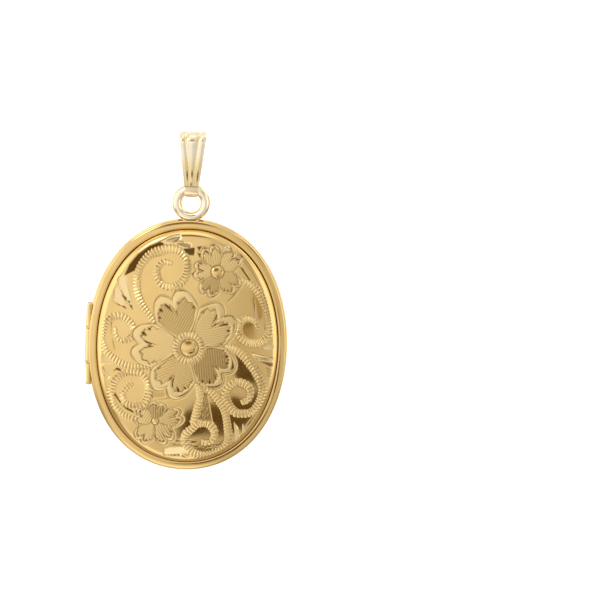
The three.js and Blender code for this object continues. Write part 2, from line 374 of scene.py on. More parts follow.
# ------------------------------------------------------------------ engraving
class Relief:
    """Heights over the smooth crown at points x, z, and at each point its satin, its painted highlight and its
    painted shade, partly tarnish.
    """

    def __init__(self, x, z):
        self.x, self.z = x, z
        self.h, self.tarnish, self.satin, self.bright = (np.zeros_like(x) for _ in range(4))

    def lay(self, mask, height, tarnish=0.0, satin=0.0, bright=0.0):
        """Puts a new surface over the old one where the mask is 1."""
        self.h += mask * (height - self.h)
        self.tarnish += mask * (tarnish - self.tarnish)
        self.satin += mask * (satin - self.satin)
        self.bright += mask * (bright - self.bright)

    def vine(self, route, taper, width=0.49, pitch=0.42, height=0.085):
        """A band of short cross ribs along a curved route, with the share of its width left at each end."""
        path = spline(route, 0.04)
        run = np.concatenate([[0], np.cumsum(np.linalg.norm(np.diff(path, axis=0), axis=1))])
        near = np.ones(self.x.shape, bool)
        for value, column in ((self.x, path[:, 0]), (self.z, path[:, 1])):
            near &= (value > column.min() - 1) & (value < column.max() + 1)
        where = np.nonzero(near)[0]
        p = np.stack([self.x[where], self.z[where]], -1)
        best, index = np.full(len(p), 1e9), np.zeros(len(p), int)
        for first in range(0, len(path), 64):
            d = ((p[:, None] - path[None, first:first + 64]) ** 2).sum(-1)
            k = d.argmin(1)
            closer = d[np.arange(len(p)), k] < best
            best[closer] = d[np.arange(len(p)), k][closer]
            index[closer] = first + k[closer]
        tangent = np.gradient(path, axis=0)
        tangent /= np.linalg.norm(tangent, axis=1)[:, None]
        t, away = tangent[index], p - path[index]
        along = run[index] + (away * t).sum(-1)
        across = t[:, 0] * away[:, 1] - t[:, 1] * away[:, 0]
        narrow_start = (1 - taper[0]) * smoothstep(3.5, 0.5, along)
        narrow_end = (1 - taper[1]) * smoothstep(run[-1] - 3.5, run[-1] - 0.5, along)
        half = width * (1 - narrow_start - narrow_end)
        over = np.maximum(np.maximum(-along, along - run[-1]), 0)
        d = np.hypot(across, over) / half
        phase = (along + 0.10 * across) / pitch
        f = phase - np.floor(phase) - 0.5
        jitter = np.sin(np.floor(phase) * 12.9898) * 0.06
        body = np.clip(1 - (d - jitter) ** 2, 0, 1)
        reach = 0.74 + 0.30 * (1 - (2 * f) ** 2)        # the ribs stick out past the gaps
        rib = np.clip(1 - (f / (0.47 * body ** 0.35 + 1e-3)) ** 2, 0, 1) ** 0.75 * (0.55 + 0.45 * body)
        mask = np.where(best < 1.2 ** 2, 1 - smoothstep(-0.10, 0.06, d - reach), 0)
        full = np.zeros_like(self.x)
        full[where] = mask
        rise, dark = np.zeros_like(self.x), np.zeros_like(self.x)
        gap = smoothstep(0.30, 0.5, np.abs(f))
        rise[where] = height * rib - 0.045 * gap * body ** 0.5
        # painted shade in the gaps between ribs, heavier on one side of each gap, and painted highlight on the
        # rib tops
        dark[where] = gap ** 2 * smoothstep(0.0, 0.5, d) * np.where(f > 0, 0.75, 0.25)
        self.lay(full, rise, dark, 0.1, 0.25 * (rise > 0.03))

    def flat_cut(self, corners, toward, depth, bright, tarnish):
        """A flat cut inside a polygon that slopes down toward a direction in degrees, with painted highlight
        and painted shade (partly tarnish) given by the last two numbers.
        """
        a = math.radians(toward)
        s = self.x * math.cos(a) + self.z * math.sin(a)
        ends = [x * math.cos(a) + z * math.sin(a) for x, z in corners]
        slope = np.clip((s - min(ends)) / (max(ends) - min(ends)), 0, 1)
        mask = 1 - smoothstep(-0.05, 0.05, polygon_distance(self.x, self.z, corners))
        self.lay(mask, 0.02 - depth * slope, tarnish, 0.0, bright)

    def line(self, a, b, depth=0.05, width=0.09):
        """A straight graver line that swells in the middle."""
        a, b = np.array(a, float), np.array(b, float)
        axis = (b - a) / np.linalg.norm(b - a)
        u = (self.x - a[0]) * axis[0] + (self.z - a[1]) * axis[1]
        v = axis[0] * (self.z - a[1]) - axis[1] * (self.x - a[0])
        swell = np.sin(np.pi * np.clip(u / np.linalg.norm(b - a), 0, 1))
        cut = swell * np.clip(1 - np.abs(v) / width, 0, 1)
        self.h -= depth * cut
        # painted shade, partly tarnish, along the cut
        self.tarnish = np.maximum(self.tarnish, 0.6 * cut)

    def patch(self, corners, height, tarnish, satin, edge=0.06):
        """A soft-edged area of its own height, satin, and painted shade that is partly tarnish."""
        mask = 1 - smoothstep(-edge, edge, polygon_distance(self.x, self.z, corners))
        self.lay(mask, height, tarnish, satin)

    def flower(self, centre, petals, wide, margin, ball, rays, hatch, nick):
        """Heart-shaped petals, each [angle, length, hatch angle, tone as the painted shade of its hatching],
        round a ball and a ring of rays.
        """
        dx, dz = self.x - centre[0], self.z - centre[1]
        radius = np.hypot(dx, dz)
        distances, locals_ = [], []
        for angle, length, _, _ in petals:
            c, s = math.cos(math.radians(angle)), math.sin(math.radians(angle))
            u, v = dx * c + dz * s, -dx * s + dz * c
            lobe = np.full_like(u, 1e9)
            along, across = 0.43 * length, 0.60 * wide
            for sign in (-1, 1):
                q = np.hypot((u - 0.64 * length) / along, (v - sign * 0.43 * wide) / across)
                lobe = np.minimum(lobe, (q - 1) * min(along, across))
            stem = np.maximum(np.maximum(np.abs(v) - u * 0.60, -u), u - 0.62 * length)
            near = np.minimum(lobe, stem)
            distances.append(near)
            locals_.append((u, v))
        distances = np.array(distances)
        order = np.argsort(distances, axis=0)
        first = np.take_along_axis(distances, order[:1], 0)[0]
        second = np.take_along_axis(distances, order[1:2], 0)[0]
        edge = np.maximum(first, (first - second) / 2)          # neighbours part along the line between them
        for k, (angle, length, hatch_angle, tone) in enumerate(petals):
            mine = order[0] == k
            u, v = locals_[k]
            toward = np.clip(u / length, 0, 1.2)
            rim = margin * (0.10 + 0.62 * smoothstep(0.35, 1.0, toward))
            round_ = np.arctan2(v, u - 0.55 * length)
            wave = np.abs(((round_ * 2.6 + 0.13 * k) % 1.0) - 0.5) * 2
            scallop = 0.30 * margin * (wave - 0.5) * smoothstep(0.45, 0.8, toward)
            inner = edge + rim + scallop
            body = mine * (1 - smoothstep(-0.04, 0.05, edge))
            t = np.clip(-edge / np.maximum(rim, 1e-3), 0, 1)
            # painted highlight, growing toward the petal's tip
            self.lay(body, 0.03 * np.sin(np.pi * t) ** 0.8 + 0.012 * t, 0.0, 0.0, 0.35 * toward)
            a = math.radians(hatch_angle)
            q = (-math.sin(a) * self.x + math.cos(a) * self.z) / hatch
            ridge = 0.5 + 0.5 * np.cos(TAU * q)
            floor = -0.035 + 0.017 * ridge
            hatched = mine * (1 - smoothstep(-0.05, 0.04, inner))
            # the hatching takes the petal's painted shade, lighter on the ridges, and a little painted
            # highlight on light petals
            self.lay(hatched, floor, tone * (1 - 0.45 * ridge), 0.5, max(0, 0.2 - tone))
            # triangular nicks where the margin meets the hatching, darkened with painted shade
            tooth = np.floor(round_ * 2.6 + 0.13 * k + 0.5)
            uneven = 0.55 + 0.45 * np.sin(tooth * 7.3 + 2.1 * k)
            bite = smoothstep(0.55, 0.95, wave) * smoothstep(0.5, 0.75, toward) * uneven
            depth = np.clip(1 - np.abs(inner + 0.02) / (nick * 1.2), 0, 1)
            self.h -= mine * bite * depth * 0.12
            self.tarnish = np.maximum(self.tarnish, mine * smoothstep(0.05, 0.35, bite * depth))
            # a thin lip of painted shade inside the margin, toward the tip
            lip = mine * np.exp(-((inner + 0.03) / 0.07) ** 2) * smoothstep(0.35, 0.7, toward) * (edge < 0)
            self.h -= 0.05 * lip
            self.tarnish = np.maximum(self.tarnish, 0.6 * lip)
        # the cut between petals, darkened with painted shade
        cut = np.exp(-(edge / 0.06) ** 2)
        self.h -= 0.05 * cut
        self.tarnish = np.maximum(self.tarnish, 0.55 * cut ** 2)
        # the rays and the ball
        if rays:
            inner_r, outer_r = ball * 1.22, ball * 2.1
            turn = np.arctan2(dz, dx) / TAU * rays
            f = turn - np.floor(turn) - 0.5
            g = (radius - (inner_r + outer_r) / 2) / ((outer_r - inner_r) / 2)
            bead = np.clip(1 - (2.1 * f) ** 2, 0, 1) * np.sqrt(np.clip(1 - g ** 2, 0, 1))
            ring_mask = 1 - smoothstep(0.95, 1.08, np.abs(g))
            # painted shade between the rays and a little painted highlight on them
            self.lay(ring_mask, 0.10 * bead - 0.06, 0.6 * smoothstep(0.36, 0.5, np.abs(f)), 0.1, 0.2)
        dome = np.sqrt(np.clip(1 - (radius / (ball * 1.02)) ** 2, 0, 1))
        self.lay(1 - smoothstep(ball * 1.12, ball * 1.22, radius), 0.0)
        self.lay(1 - smoothstep(ball, ball * 1.08, radius), 0.20 * dome - 0.12 - 0.16 * np.clip(dz, 0, None))
        # a ring of painted shade round the ball
        self.tarnish = np.maximum(self.tarnish, 0.8 * np.exp(-((radius - ball * 1.12) / 0.07) ** 2))


def polygon_distance(x, z, corners):
    """Distance to a polygon's edge, negative inside."""
    d, inside = np.full(x.shape, 1e9), np.zeros(x.shape, bool)
    for (x0, z0), (x1, z1) in zip(corners, corners[1:] + corners[:1]):
        ex, ez = x1 - x0, z1 - z0
        t = np.clip(((x - x0) * ex + (z - z0) * ez) / (ex * ex + ez * ez), 0, 1)
        d = np.minimum(d, np.hypot(x - x0 - t * ex, z - z0 - t * ez))
        crosses = ((z0 <= z) & (z < z1)) | ((z1 <= z) & (z < z0))
        inside ^= crosses & (x < x0 + (z - z0) / (ez if ez else 1e-9) * ex)
    return np.where(inside, -d, d)


SCROLLS = [                                        # routes of the ribbed stems, and widths left at the ends
    ([(-2.4, 10.8), (-3.2, 10.9), (-3.9, 10.2), (-4, 9.2), (-3.5, 8.2), (-2.5, 7.8), (-1.4, 8.1), (-0.7, 8.8),
      (-0.3, 9.8), (-0.3, 10.9), (-0.8, 11.8), (-1.5, 12.4), (-2.6, 12.6), (-3.7, 12.4), (-4.9, 11.8),
      (-5.6, 11), (-6.1, 10.2), (-6.4, 9.3), (-6.5, 8.4), (-6.5, 7.4), (-6.3, 6.5), (-5.9, 5.6), (-5.3, 4.7),
      (-4.7, 3.9), (-4.1, 3.1)], (0.62, 0.85)),
    ([(-9.1, 2.3), (-9, 1.4), (-8.4, 0.8), (-7.5, 1), (-6.8, 1.9), (-7, 2.8), (-7.6, 3.5), (-8.5, 3.9),
      (-9.5, 3.7), (-10.2, 3), (-10.6, 2.1), (-10.8, 0.9), (-10.6, 0.1), (-10.1, -0.8), (-9.3, -1.5),
      (-8.3, -2.1), (-7.1, -2.5), (-5.7, -2.5), (-4.3, -2.4)], (0.55, 0.85)),
    ([(-7, -4.8), (-7.7, -5.5), (-8, -6.2), (-7.8, -7.1), (-7, -7.5), (-6.1, -7.5), (-5.3, -7.1),
      (-4.9, -6.2), (-4.8, -5.1), (-5.1, -4.2), (-5.7, -3.5), (-6.7, -3.3), (-7.6, -3.3), (-8.5, -3.8),
      (-9.1, -4.5), (-9.4, -5.5), (-9.5, -6.3), (-9.3, -7.3), (-8.7, -8.1), (-7.9, -8.8), (-6.9, -9.2)],
     (0.62, 0.8)),
    ([(8.8, 2.9), (8.4, 3.6), (7.4, 4), (6.6, 3.6), (6.3, 2.7), (6.6, 1.7), (7.4, 1), (8.3, 0.8), (9.4, 1.1),
      (10.1, 1.9), (10.4, 3), (10.3, 4.1), (9.9, 5.2), (9.4, 6.3), (8.8, 7.3), (8, 8.1), (7, 8.7)],
     (0.6, 0.85)),
    ([(4.7, 0.3), (6, -0), (7.1, -0.8), (7.9, -1.8), (8.6, -2.8), (9.2, -3.8), (9.6, -4.9), (9.5, -6.2),
      (9, -7.3), (8.3, -8.1), (7.3, -8.3), (6.4, -8.2), (5.6, -7.5), (5.1, -6.5), (5, -5.5), (5.5, -4.7),
      (6.3, -4.2), (7, -4.3), (7.9, -4.9), (8.1, -5.7), (7.8, -6.5), (7.2, -6.8)], (0.85, 0.65)),
    ([(1.4, -3.5), (1.5, -4.5), (1.7, -5.6), (1.8, -6.6), (1.5, -7.5), (1.3, -8.5), (1.1, -9.4)], (0.8, 1)),
    ([(2.7, -4.9), (3.3, -5.6), (4, -6.5), (4.6, -7.3), (5, -8.3), (5.2, -9.3), (5.4, -10.5), (5.5, -11.6),
      (5.2, -12.5), (4.5, -13.2), (3.5, -13.7), (2.6, -13.9), (1.6, -13.8), (0.8, -13.4), (0.3, -12.7),
      (-0.1, -11.9), (0.1, -11.1), (0.8, -10.4), (1.5, -9.7), (2.5, -9.5), (3.3, -10), (3.7, -10.8),
      (3.5, -11.7), (2.9, -12.2), (2.2, -12.1)], (0.8, 0.6)),
]


SLIVERS = [                                        # deep cuts darkened with painted shade: corners, slope in degrees, depth, painted shade (partly tarnish)
    ([(-8.1, 9.0), (-7.5, 10.4), (-6.45, 11.75), (-5.1, 12.8), (-3.6, 13.5), (-3.2, 13.1), (-4.6, 12.0),
      (-5.7, 11.0), (-6.4, 9.9)], 135, 0.10, 1.0),
    ([(-9.2, -6.1), (-8.3, -7.3), (-7.5, -8.1), (-6.5, -8.6), (-6.7, -8.2), (-7.6, -7.7), (-8.4, -6.9),
      (-8.9, -6.0)], 225, 0.10, 0.95),
    ([(-9.3, -3.2), (-8.7, -2.7), (-8.2, -3.0), (-8.4, -3.2), (-8.8, -3.0)], 90, 0.10, 0.95),
    ([(6.3, 10.5), (6.7, 10.3), (7.7, 8.8), (7.5, 8.8)], 45, 0.10, 0.95),
    ([(8.0, 7.2), (8.35, 5.6), (8.4, 4.2), (8.2, 5.6)], 0, 0.08, 0.9),
    ([(-0.75, 12.65), (0.6, 12.8), (0.6, 11.95), (-0.1, 11.95), (-0.75, 12.2)], 270, 0.12, 0.95),
]
LEFT_CUTS = [                                      # bright cuts: corners, slope in degrees, depth, painted highlight
    ([(-8.9, 8.6), (-8.3, 9.2), (-7.8, 8.9), (-6.8, 4.6), (-7.6, 5.6), (-8.5, 7.2)], 190, 0.22, 0.75),
    ([(-9.3, 7.3), (-8.8, 7.7), (-8.5, 7.1), (-7.8, 4.8), (-9.4, 5.7)], 200, 0.20, 0.65),
]
NICKS = [
    [(-8.45, 6.6), (-7.7, 6.2), (-7.85, 5.9)], [(-7.75, 6.0), (-7.3, 5.8), (-7.3, 5.45)],
    [(-7.4, 5.3), (-6.9, 4.7), (-7.1, 5.4)], [(-8.5, 5.2), (-7.7, 4.8), (-8.0, 5.2)],
    [(4.95, 14.2), (5.35, 14.0), (5.5, 13.4)], [(0.9, 12.9), (1.5, 13.0), (1.2, 12.4)],
    [(0.9, 12.2), (1.4, 12.0), (1.3, 11.6)], [(0.3, 9.5), (0.9, 9.7), (0.5, 9.3)],
    [(-0.4, -13.9), (0.5, -14.3), (-0.2, -14.1)], [(10.4, -0.9), (10.9, -1.1), (10.7, -1.6)],
    [(6.6, -11.6), (7.0, -12.0), (7.0, -11.3)], [(6.2, -12.6), (6.6, -12.3), (6.0, -12.1)],
]
EDGE_CUTS = [                                      # corners, slope in degrees, depth, painted highlight, painted shade (partly tarnish)
    ([(-3.7, 13.35), (-1.35, 14.6), (-1.05, 13.9), (-2.4, 13.2)], 80, 0.20, 0.85, 0),
    ([(-2.0, 13.3), (-0.9, 13.5), (0.2, 13.3), (0.1, 12.7), (-0.6, 12.65), (-1.3, 12.9)], 70, 0.18, 0.75, 0),
    ([(3.8, 11.8), (4.1, 12.5), (4.75, 13.5), (5.65, 13.2), (4.8, 12.7)], 60, 0.20, 0.85, 0),
    ([(8.1, -0.5), (9.2, -0.85), (10.8, -1.1), (10.8, -1.7), (8.9, -1.35)], 100, 0.18, 0.75, 0),
    ([(9.2, 0.35), (9.8, 0.5), (10.9, 0.4), (10.9, 0.0), (9.9, -0.1)], 100, 0.15, 0.6, 0),
    ([(9.0, -1.45), (10.9, -1.8), (10.9, -2.3), (10.0, -1.9)], 280, 0.14, 0, 0.8),
    ([(6.0, -9.2), (6.65, -10.3), (7.0, -11.9), (6.3, -12.2), (6.3, -10.6)], 0, 0.16, 0.8, 0),
    ([(7.1, -9.4), (7.6, -10.5), (8.7, -10.8), (7.8, -12.0), (7.1, -11.0)], 0, 0.16, 0.8, 0),
    ([(-2.7, -14.1), (-2.6, -13.2), (-1.8, -12.8), (-0.6, -12.85), (0.4, -13.4), (-0.6, -13.9)],
     280, 0.16, 0.75, 0),
    ([(-11.2, -0.9), (-10.3, -1.5), (-9.2, -2.4), (-10.2, -2.35), (-10.9, -2.4)], 225, 0.16, 0.5, 0),
    ([(-10.9, -2.6), (-9.3, -3.7), (-9.9, -4.2), (-10.6, -3.6)], 225, 0.16, 0.5, 0),
    ([(-4.35, -5.2), (-2.7, -5.4), (-2.65, -6.35), (-4.25, -6.6)], 300, 0.08, 0, 0.1),
]
LINES = [                                          # ends of single graver lines
    ((-8.0, 9.0), (-6.8, 4.7)), ((-5.4, 11.2), (-2.5, 12.0)), ((5.0, 6.0), (6.6, 8.0)),
    ((4.8, 5.9), (6.3, 7.7)),
    ((-1.6, -12.4), (2.0, -12.6)), ((-1.2, -11.9), (1.6, -12.0)), ((2.2, -12.7), (5.0, -12.2)),
    ((2.4, -13.1), (5.0, -12.6)), ((7.4, -10.4), (9.4, -7.6)), ((7.7, -10.9), (9.8, -7.9)),
    ((9.8, -2.3), (10.8, -2.9)), ((9.9, -2.7), (10.8, -3.3)), ((10.0, -3.1), (10.7, -3.7)),
    ((-9.6, 1.2), (-9.5, 4.6)), ((-9.5, 1.2), (-9.0, -0.8)), ((9.6, 2.4), (9.5, 5.6)),
    ((5.0, 2.4), (5.8, 2.9)), ((5.1, 1.6), (6.0, 2.4)), ((-3.2, -14.0), (0.0, -13.7)),
    ((-4.0, -6.7), (-1.5, -6.4)),
]


def front_relief(x, z, inset, turn):
    """The whole hand-engraved pattern of the cover."""
    r = Relief(x, z)
    dents = np.sin(x * 1.25 + 0.6 * np.sin(z * 0.9)) * np.sin(z * 1.05 + 0.7)
    r.h += 0.006 * dents * smoothstep(1.6, 2.6, inset)
    for corners, toward, depth, tarnish in SLIVERS:
        r.flat_cut(corners, toward, depth, 0.0, tarnish)
    for route, taper in SCROLLS:
        r.vine(route, taper)
    for corners, toward, depth, bright in LEFT_CUTS:
        r.flat_cut(corners, toward, depth, bright, 0.0)
    # nicks darkened with painted shade
    for corners in NICKS:
        r.flat_cut(corners, 270, 0.14, 0.0, 0.95)
    for corners, toward, depth, bright, tarnish in EDGE_CUTS:
        r.flat_cut(corners, toward, depth, bright, tarnish)
    for a, b in LINES:
        r.line(a, b)
    # stippled ground between the two stems, satin and darkened with painted shade
    grain = np.sin(x * 21.0 + 3 * np.sin(z * 13.0)) * np.sin(z * 19.0 + 3 * np.sin(x * 11.0))
    r.patch([(2.2, -5.8), (2.7, -5.9), (3.4, -9.4), (1.8, -9.3)], -0.03 + 0.016 * grain, 0.25, 0.6)
    # upper right and lower left blossoms, then the large one
    r.flower((3.5, 9.8), [(110, 3.2, 100, 0.12), (42, 3.35, 60, 0.04), (-39, 3.2, -40, 0.15),
                          (245, 3.0, 200, 0.42), (177, 2.7, 0, 0.06)],
             wide=1.28, margin=0.40, ball=0.75, rays=0, hatch=0.30, nick=0.16)
    r.flower((-3.85, -9.5), [(80, 2.4, 90, 0.45), (15, 3.3, 20, 0.08), (-55, 3.1, -60, 0.05),
                             (234, 3.1, -35, 0.05), (162, 2.4, 60, 0.05)],
             wide=1.2, margin=0.36, ball=0.42, rays=0, hatch=0.30, nick=0.14)
    r.flower((0.2, 0.1), [(110, 6.9, 62, 0.36), (44, 6.3, 12, 0.05), (-37, 5.9, 95, 0.50),
                          (-117, 6.3, 25, 0.14), (177, 6.7, -15, 0.05)],
             wide=2.75, margin=1.05, ball=1.0, rays=26, hatch=0.30, nick=0.26)
    # one fine line inside the border, on the upper right, darkened with painted shade
    fade = smoothstep(0.1, 0.4, turn) * (1 - smoothstep(1.0, 1.5, turn))
    cut = np.clip(1 - np.abs(inset - 2.02) / 0.09, 0, 1) * fade
    r.h -= 0.06 * cut
    r.tarnish = np.maximum(r.tarnish, 0.6 * cut)
    border = smoothstep(1.62, 1.95, inset)
    r.h *= border
    r.tarnish *= border
    r.satin *= border
    r.bright *= border
    return r


# ------------------------------------------------------------------ the two halves
EDGE_INSET = 1.5                                   # where the crown patch meets the rim
BORDER_INSET = 2.1                                 # where the crown's side turns into the dome
SHOULDER = 1.72                                    # height where the dome starts
RISE = CROWN - SHOULDER - 0.08
SHEET = 0.40                                       # thickness of the dome
HINGE_HOLLOW = 0.58                                # radius left free round the hinge
KNUCKLE_ENDS = (5.26, -5.45)                       # reach of that hollow, top and foot


def rim_profile(side):
    """Side of the crown, then groove, border and flange to the parting plane, as [inset, height]."""
    wall = [(1.43, 1.385), (1.365, 1.32), (1.305, 1.235), (1.26, 1.13), (1.23, 1.00), (1.21, 0.85),
            (1.195, 0.70)]
    if side < 0:                                    # a broad half-round that rises to a narrow groove
        groove = [(1.17, 0.60), (1.145, 0.605), (1.12, 0.80), (1.09, 0.855)]
        border = [(t, 0.88 - 0.30 * (1 - t) ** 2.6 - 0.02 * max(0, t - 0.9)) for t in
                  (1.02, 0.93, 0.84, 0.75, 0.66, 0.57, 0.48, 0.40, 0.33, 0.27, 0.22)]
        border += [(0.18, 0.665), (0.15, 0.60), (0.13, 0.53)]
    else:                                           # a bead with a light channel inside it
        groove = [(1.17, 0.575), (1.14, 0.592)]
        border = [(t, 0.60 + 0.19 * math.cos(math.pi * (t - 0.52) / 1.24) ** 2) for t in
                  (1.08, 1.00, 0.92, 0.84, 0.76, 0.68, 0.60, 0.52)]
        border += [(0.45, 0.785), (0.38, 0.765), (0.31, 0.725), (0.25, 0.665), (0.20, 0.59), (0.17, 0.515)]
    flange = [(0.115, 0.475), (0.08, 0.46), (0.04, 0.435), (0.01, 0.39), (0.0, 0.33), (0.0, 0.07),
              (0.035, 0.032)]
    return wall, groove + border + flange


INNER = [(1.45, 0.03), (1.45, 0.27), (1.45, 0.5), (1.60, 0.75), (1.77, 0.97), (1.95, 1.16), (2.15, 1.31)]


def edge_at(turn, inset):
    p = oval(turn, inset, 0.0, 1)
    return p[..., 0], p[..., 2]


def crown_patch(ca, cb, relief):
    """The crown as a square grid of ca by cb laid on the oval; gives points and the marks on them."""
    a, b = np.meshgrid(ca, cb, indexing="ij")
    wide = np.abs(a) > np.abs(b)
    r = np.where(wide, a, b)
    with np.errstate(divide="ignore", invalid="ignore"):
        phi = np.where(wide, np.pi / 4 * b / a, np.pi / 2 - np.pi / 4 * a / b)
    phi[r == 0] = 0
    dx, dz = r * np.cos(phi), r * np.sin(phi)
    radius, turn = np.abs(r), np.arctan2(dz, dx)
    ex, ez = edge_at(turn, EDGE_INSET)
    _, _, nx, nz = outline(turn)
    support = ex * nx + ez * nz
    x, z = ex * radius, ez * radius
    inset = EDGE_INSET + (1 - radius) * support
    shoulder_radius = 1 - (BORDER_INSET - EDGE_INSET) / support
    h = SHOULDER + RISE * (1 - (radius / shoulder_radius) ** 2)
    h -= 0.19 * (np.clip(BORDER_INSET - inset, 0, None) / (BORDER_INSET - EDGE_INSET)) ** 2.2
    marks = relief(x.ravel(), z.ravel(), inset.ravel(), turn.ravel())
    h = np.minimum(h + marks.h.reshape(x.shape), CROWN - 0.002)
    return x, z, h, marks


def shell(name, node, body, side, ca, cb, relief, notch, material):
    x, z, h, marks = crown_patch(ca, cb, relief)
    b = Builder()
    ids = b.add(np.stack([x, side * h, z], -1).reshape(-1, 3)).reshape(x.shape)
    b.grid(ids.T)
    na, nb = len(ca) - 1, len(cb) - 1
    edge = np.concatenate([ids[na, :nb], ids[na:0:-1, nb], ids[0, nb:0:-1], ids[:na, 0]])
    half = math.pi / 4
    turns = np.concatenate([half * cb[:nb], math.pi / 2 - half * ca[na:0:-1], math.pi - half * cb[nb:0:-1],
                            1.5 * math.pi + half * ca[:na]])
    side_rows, rim_rows = rim_profile(side)
    ring, stride = edge, 1
    shade = [marks.tarnish]
    if len(edge) > 800:
        stride = 2
        rows = b.add(oval(turns[::2], *side_rows[0], side))
        b.halve(ring, rows)
        ring = rows
        side_rows = side_rows[1:]
        shade.append(np.zeros(len(rows)))
    for inset, height in side_rows + rim_rows:
        rows = b.add(oval(turns[::stride], inset, height, side))
        b.band(ring, rows)
        ring = rows
        t = turns[::stride]
        # painted shade in the front rim's groove: uneven round the oval and much lighter at the top
        lighter_top = 1 - 0.8 * np.exp(-((t - 1.65) / 0.38) ** 2)
        groove_shade = (0.80 + 0.14 * np.sin(3 * t + 1.0) + 0.06 * np.sin(11 * t)) * lighter_top
        shade.append(groove_shade if 1.10 < inset < 1.2 and side < 0 else np.zeros(len(rows)))
    coarse = turns[::2 * stride]
    rows = b.add(oval(coarse, *INNER[0], side))
    b.halve(ring, rows)
    ring = rows
    for inset, height in INNER[1:]:
        rows = b.add(oval(coarse, inset, height, side))
        b.band(ring, rows)
        ring = rows
    for share in (0.10, 0.25, 0.45, 0.65, 0.85):
        rows = b.add(oval(coarse, 2.15, SHOULDER + RISE * (1 - (1 - share) ** 2) - SHEET, side, share))
        b.band(ring, rows)
        ring = rows
    b.fan(ring, b.add([[0, side * (SHOULDER + RISE - SHEET), 0]])[0])
    p = b.all_points()
    # the notch under the ring, and the hollow round the hinge
    under = (np.abs(p[:, 0]) < notch / 2 + 0.02) & (np.abs(p[:, 1]) < 0.6) & (p[:, 2] > NOTCH_Z)
    p[under, 2] = NOTCH_Z
    hollow = (p[:, 2] > KNUCKLE_ENDS[1]) & (p[:, 2] < KNUCKLE_ENDS[0]) & (p[:, 0] < 0)
    hollow &= (p[:, 0] - HINGE_X) ** 2 + p[:, 1] ** 2 < HINGE_HOLLOW ** 2
    p[hollow, 0] = HINGE_X + np.sqrt(HINGE_HOLLOW ** 2 - p[hollow, 1] ** 2)
    p[:, 0] = np.maximum(p[:, 0], HINGE_X + 0.02)   # clear of the other half when the cover lies open
    obj = make(name, p, b.faces, material, body, node, "engraved_gold" if side < 0 else "polished_gold")
    crown_count = ids.size
    mark(obj, tarnish=np.concatenate(shade), satin=marks.satin, bright=marks.bright)
    sharpen(obj, 50)
    if side < 0:
        soften_crown(obj, crown_count)


def mark(obj, **layers):
    """Stores the layers that the gold materials read: painted shade that is partly tarnish, satin, and painted
    highlight.
    """
    for key in ("tarnish", "satin", "bright"):
        layer = obj.data.attributes.new(key, "FLOAT", "POINT")
        full = np.zeros(len(obj.data.vertices), np.float32)
        values = layers.get(key, [])
        full[:len(values)] = values
        layer.data.foreach_set("value", full)


def sharpen(obj, degrees):
    obj.data.set_sharp_from_angle(angle=math.radians(degrees))


def soften_crown(obj, count):
    """Keeps the engraved crown smooth-shaded where sharpening has split it."""
    me = obj.data
    edges = np.empty(len(me.edges) * 2, np.int32)
    me.edges.foreach_get("vertices", edges)
    inside = (edges.reshape(-1, 2) < count).all(1)
    layer = me.attributes.get("sharp_edge")
    if layer:
        sharp = np.zeros(len(me.edges), bool)
        layer.data.foreach_get("value", sharp)
        sharp[inside] = False
        layer.data.foreach_set("value", sharp)


def back_relief(x, z, inset, turn):
    """A thick-and-thin penwork flourish, generic scrolls only."""
    r = Relief(x, z)
    strokes = []
    for m in (-1, 1):
        strokes += [
            ([(0.35 * m, 0.9), (1.3 * m, 2.2), (2.7 * m, 2.4), (3.5 * m, 1.4), (2.9 * m, 0.4), (1.9 * m, 0.8),
              (2.2 * m, 1.5)], 0.17),
            ([(0.5 * m, 0.2), (1.7 * m, -0.9), (3.6 * m, -0.8), (5.0 * m, 0.5), (6.4 * m, 1.6),
              (7.9 * m, 1.4), (8.4 * m, 0.3), (7.6 * m, -0.5), (6.8 * m, 0.1), (7.1 * m, 0.7)], 0.20),
            ([(4.3 * m, -0.2), (5.4 * m, -0.9), (7.0 * m, -1.2), (8.8 * m, -0.7), (9.4 * m, -0.1)], 0.13),
            ([(0.5 * m, -3.3), (1.5 * m, -2.6), (2.6 * m, -3.0), (3.4 * m, -3.7), (4.4 * m, -3.4),
              (4.5 * m, -2.7), (3.9 * m, -2.6)], 0.15),
        ]
    cut = np.zeros_like(x)
    for route, width in strokes:
        path = spline(route, 0.05)
        near = (x > path[:, 0].min() - 0.5) & (x < path[:, 0].max() + 0.5)
        near &= (z > path[:, 1].min() - 0.5) & (z < path[:, 1].max() + 0.5)
        p = np.stack([x[near], z[near]], -1)
        d = np.sqrt(((p[:, None] - path[None]) ** 2).sum(-1))
        k = d.argmin(1)
        tangent = np.gradient(path, axis=0)
        steep = np.abs(tangent[:, 1]) / np.linalg.norm(tangent, axis=1)
        ends = smoothstep(0, 12, np.arange(len(path))) * smoothstep(0, 12, np.arange(len(path))[::-1])
        half = (0.05 + width * (0.25 + 0.75 * steep)) * (0.35 + 0.65 * ends)
        cut[near] = np.maximum(cut[near], 1 - smoothstep(-0.05, 0.05, d[np.arange(len(p)), k] - half[k]))
    for cx, cz, size in ((0, 0.55, 0.42), (0, -3.05, 0.32), (0, -0.75, 0.22), (0, 1.75, 0.22)):
        lozenge = np.abs(x - cx) * 0.9 + np.abs(z - cz) * 0.62 - size * 0.8
        cut = np.maximum(cut, 1 - smoothstep(-0.05, 0.05, lozenge))
    # the cuts sink in and are darkened with painted shade, partly tarnish
    r.lay(cut, -0.05, 0.62, 1.0)
    return r


def back_grid(fine, fine_step, coarse_step):
    """Close together out to the share fine, and wider apart from there to the edge."""
    inner = np.arange(0, fine, fine_step)
    outer = np.linspace(fine, 1, max(3, int(round((1 - fine) / coarse_step))))
    positive = np.concatenate([inner, outer])
    return np.concatenate([-positive[:0:-1], positive])


